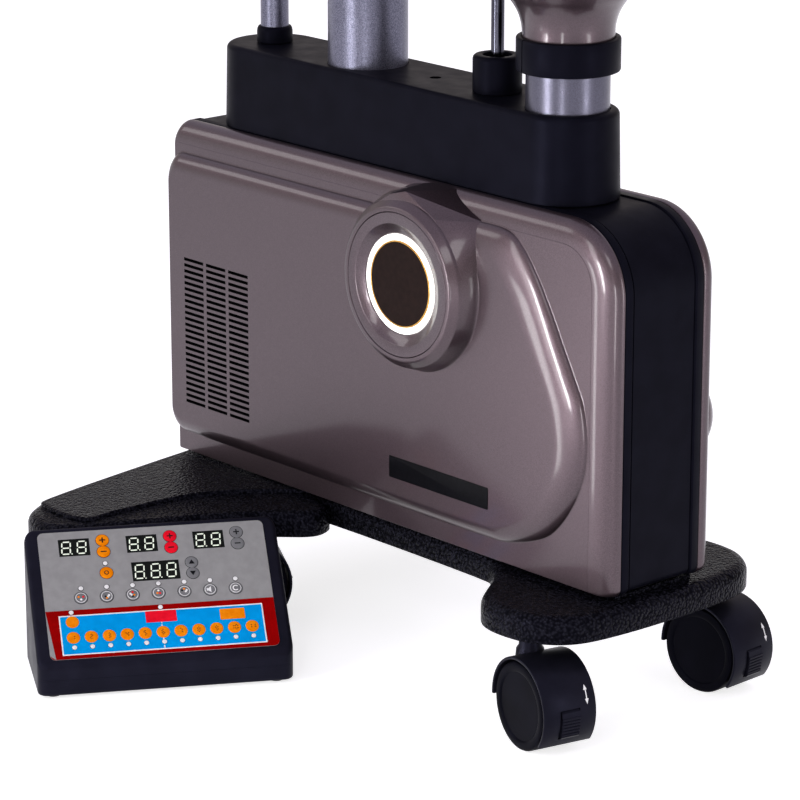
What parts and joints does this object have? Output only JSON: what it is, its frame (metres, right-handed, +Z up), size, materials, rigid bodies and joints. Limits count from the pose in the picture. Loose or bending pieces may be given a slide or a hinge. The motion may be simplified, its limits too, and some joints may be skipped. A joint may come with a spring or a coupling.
{
  "type": "table tennis robot",
  "caption": "Ball throwing robot on casters with a slab body, tube mast and hopper, tilting head on a front tube, and a separate sloping control console.",
  "frame": {"origin": "on the floor, at the middle of the set's bounding box", "axes": "+Z up, +X towards the throwing end, -Y towards the side with the round emblem"},
  "size_m": [0.592, 0.6384, 1.01],
  "materials": {
    "base_plate": "black wrinkle powder coat",
    "body_frame": "satin black",
    "near_cover": "champagne metallic lacquer, satin",
    "far_cover": "champagne metallic lacquer, satin",
    "side_knob": "satin black",
    "emblem_bezel": "turned and lacquered",
    "emblem_light_ring": "lit diffuser",
    "emblem_disc": "dark brown gloss with a thin gold edge",
    "label_strip": "black gloss, bare",
    "deck": "satin black",
    "mast_tube": "silver hammer finish",
    "front_tube": "satin anodised",
    "rear_tube": "silver hammer finish",
    "rear_collar": "satin black",
    "rod_bushing": "satin black",
    "clamp_ring": "satin black",
    "clamp_screw": "zinc plated",
    "head_neck": "champagne metallic lacquer, satin",
    "head_shell_near": "champagne metallic lacquer, satin",
    "head_shell_far": "champagne metallic lacquer, satin",
    "nozzle": "satin black",
    "upper_throw_wheel": "matt",
    "upper_throw_motor": "zinc plated",
    "lower_throw_wheel": "matt",
    "lower_throw_motor": "zinc plated",
    "near_pivot_bolt": "zinc plated",
    "far_pivot_bolt": "zinc plated",
    "push_rod": "polished",
    "ball_hopper": "satin black",
    "feed_wheel": "moulded",
    "feed_drum": "moulded",
    "feed_motor": "zinc plated",
    "ball_chute": "moulded",
    "lift_elbow": "moulded",
    "power_supply": "folded sheet case",
    "control_board": "green laminate",
    "fan_housing": "moulded",
    "fan_rotor": "moulded",
    "console_base": "satin black",
    "console_cover": "satin black",
    "keypad": "printed membrane, grey over a red and blue field",
    "display_module": "black digit blocks",
    "caster_hood_front_near": "satin black",
    "caster_wheels_front_near": "satin black",
    "caster_brake_front_near": "satin black, ribbed",
    "caster_hood_front_far": "satin black",
    "caster_wheels_front_far": "satin black",
    "caster_brake_front_far": "satin black, ribbed",
    "caster_hood_rear_near": "satin black",
    "caster_wheels_rear_near": "satin black",
    "caster_brake_rear_near": "satin black, ribbed",
    "caster_hood_rear_far": "satin black",
    "caster_wheels_rear_far": "satin black",
    "caster_brake_rear_far": "satin black, ribbed"
  },
  "bodies": {
    "robot_body": {"base_plate": "base_plate", "body_frame": "body_frame", "near_cover": "near_cover", "far_cover": "far_cover", "emblem_bezel": "emblem_bezel", "emblem_light_ring": "emblem_light_ring", "emblem_disc": "emblem_disc", "label_strip": "label_strip", "deck": "deck", "mast_tube": "mast_tube", "front_tube": "front_tube", "rear_tube": "rear_tube", "rear_collar": "rear_collar", "rod_bushing": "rod_bushing", "clamp_ring": "clamp_ring", "ball_hopper": "ball_hopper", "feed_drum": "feed_drum", "feed_motor": "feed_motor", "ball_chute": "ball_chute", "lift_elbow": "lift_elbow", "power_supply": "power_supply", "control_board": "control_board", "fan_housing": "fan_housing", "console_base": "console_base", "console_cover": "console_cover", "keypad": "keypad", "display_module": "display_module"},
    "side_knob": {"side_knob": "side_knob"},
    "feed_wheel": {"feed_wheel": "feed_wheel"},
    "fan_rotor": {"fan_rotor": "fan_rotor"},
    "clamp_screw": {"clamp_screw": "clamp_screw"},
    "head_turn": {"head_neck": "head_neck", "near_pivot_bolt": "near_pivot_bolt", "far_pivot_bolt": "far_pivot_bolt"},
    "head_tilt": {"head_shell_near": "head_shell_near", "head_shell_far": "head_shell_far", "nozzle": "nozzle", "upper_throw_motor": "upper_throw_motor", "lower_throw_motor": "lower_throw_motor"},
    "upper_throw_wheel": {"upper_throw_wheel": "upper_throw_wheel"},
    "lower_throw_wheel": {"lower_throw_wheel": "lower_throw_wheel"},
    "push_rod": {"push_rod": "push_rod"},
    "caster_front_near": {"caster_hood_front_near": "caster_hood_front_near"},
    "wheels_front_near": {"caster_wheels_front_near": "caster_wheels_front_near"},
    "brake_front_near": {"caster_brake_front_near": "caster_brake_front_near"},
    "caster_front_far": {"caster_hood_front_far": "caster_hood_front_far"},
    "wheels_front_far": {"caster_wheels_front_far": "caster_wheels_front_far"},
    "brake_front_far": {"caster_brake_front_far": "caster_brake_front_far"},
    "caster_rear_near": {"caster_hood_rear_near": "caster_hood_rear_near"},
    "wheels_rear_near": {"caster_wheels_rear_near": "caster_wheels_rear_near"},
    "brake_rear_near": {"caster_brake_rear_near": "caster_brake_rear_near"},
    "caster_rear_far": {"caster_hood_rear_far": "caster_hood_rear_far"},
    "wheels_rear_far": {"caster_wheels_rear_far": "caster_wheels_rear_far"},
    "brake_rear_far": {"caster_brake_rear_far": "caster_brake_rear_far"}
  },
  "joints": [
    {"name": "caster_swivel_front_near", "type": "hinge", "parent": "robot_body", "child": "caster_front_near", "pos_m": [0.22799, -0.06085, 0.09], "axis": [0, 0, 1], "continuous": true},
    {"name": "wheel_spin_front_near", "type": "hinge", "parent": "caster_front_near", "child": "wheels_front_near", "pos_m": [0.2495, -0.06542, 0.0375], "axis": [0.2079, 0.9781, 0], "continuous": true},
    {"name": "brake_press_front_near", "type": "hinge", "parent": "caster_front_near", "child": "brake_front_near", "pos_m": [0.28667, -0.07332, 0.0325], "axis": [0.2079, 0.9781, 0], "range_deg": [0, 6]},
    {"name": "caster_swivel_front_far", "type": "hinge", "parent": "robot_body", "child": "caster_front_far", "pos_m": [0.22599, 0.14015, 0.09], "axis": [0, 0, 1], "continuous": true},
    {"name": "wheel_spin_front_far", "type": "hinge", "parent": "caster_front_far", "child": "wheels_front_far", "pos_m": [0.24795, 0.1413, 0.0375], "axis": [-0.0523, 0.9986, 0], "continuous": true},
    {"name": "brake_press_front_far", "type": "hinge", "parent": "caster_front_far", "child": "brake_front_far", "pos_m": [0.2859, 0.14329, 0.0325], "axis": [-0.0523, 0.9986, 0], "range_deg": [0, 6]},
    {"name": "caster_swivel_rear_near", "type": "hinge", "parent": "robot_body", "child": "caster_rear_near", "pos_m": [-0.16701, -0.07385, 0.09], "axis": [0, 0, 1], "continuous": true},
    {"name": "wheel_spin_rear_near", "type": "hinge", "parent": "caster_rear_near", "child": "wheels_rear_near", "pos_m": [-0.15592, -0.05486, 0.0375], "axis": [-0.8634, 0.5045, 0], "continuous": true},
    {"name": "brake_press_rear_near", "type": "hinge", "parent": "caster_rear_near", "child": "brake_rear_near", "pos_m": [-0.13674, -0.02205, 0.0325], "axis": [-0.8634, 0.5045, 0], "range_deg": [0, 6]},
    {"name": "caster_swivel_rear_far", "type": "hinge", "parent": "robot_body", "child": "caster_rear_far", "pos_m": [-0.19201, 0.24415, 0.09], "axis": [0, 0, 1], "continuous": true},
    {"name": "wheel_spin_rear_far", "type": "hinge", "parent": "caster_rear_far", "child": "wheels_rear_far", "pos_m": [-0.17134, 0.25167, 0.0375], "axis": [-0.342, 0.9397, 0], "continuous": true},
    {"name": "brake_press_rear_far", "type": "hinge", "parent": "caster_rear_far", "child": "brake_rear_far", "pos_m": [-0.13563, 0.26467, 0.0325], "axis": [-0.342, 0.9397, 0], "range_deg": [0, 6]},
    {"name": "side_knob_turn", "type": "hinge", "parent": "robot_body", "child": "side_knob", "pos_m": [0.22899, 0.09915, 0.284], "axis": [0, 1, 0], "range_deg": [-135, 135]},
    {"name": "feed_wheel_spin", "type": "hinge", "parent": "robot_body", "child": "feed_wheel", "pos_m": [0.04999, 0.03915, 0.29], "axis": [0, 1, 0], "continuous": true},
    {"name": "fan_spin", "type": "hinge", "parent": "robot_body", "child": "fan_rotor", "pos_m": [-0.22201, 0.01415, 0.24], "axis": [0, 1, 0], "continuous": true},
    {"name": "clamp_screw_turn", "type": "hinge", "parent": "robot_body", "child": "clamp_screw", "pos_m": [0.16099, 0.08415, 0.553], "axis": [0, 1, 0], "range_deg": [0, 360]},
    {"name": "head_sweep", "type": "hinge", "parent": "robot_body", "child": "head_turn", "pos_m": [0.16099, 0.03915, 0.6], "axis": [0, 0, 1], "range_deg": [-4, 4]},
    {"name": "head_tilt", "type": "hinge", "parent": "head_turn", "child": "head_tilt", "pos_m": [0.16099, 0.03915, 0.7], "axis": [0, -1, 0], "range_deg": [-8, 16]},
    {"name": "push_rod_slide", "type": "slide", "parent": "head_turn", "child": "push_rod", "axis": [0, 0, 1], "range_m": [-0.0245, 0.0125]},
    {"name": "upper_throw_spin", "type": "hinge", "parent": "head_tilt", "child": "upper_throw_wheel", "pos_m": [0.19799, 0.03915, 0.756], "axis": [0, 1, 0], "continuous": true},
    {"name": "lower_throw_spin", "type": "hinge", "parent": "head_tilt", "child": "lower_throw_wheel", "pos_m": [0.19799, 0.03915, 0.683], "axis": [0, 1, 0], "continuous": true}
  ],
  "couplings": [
    {"joint": "push_rod_slide", "follows": "head_tilt", "m_per_rad": -0.0865}
  ]
}
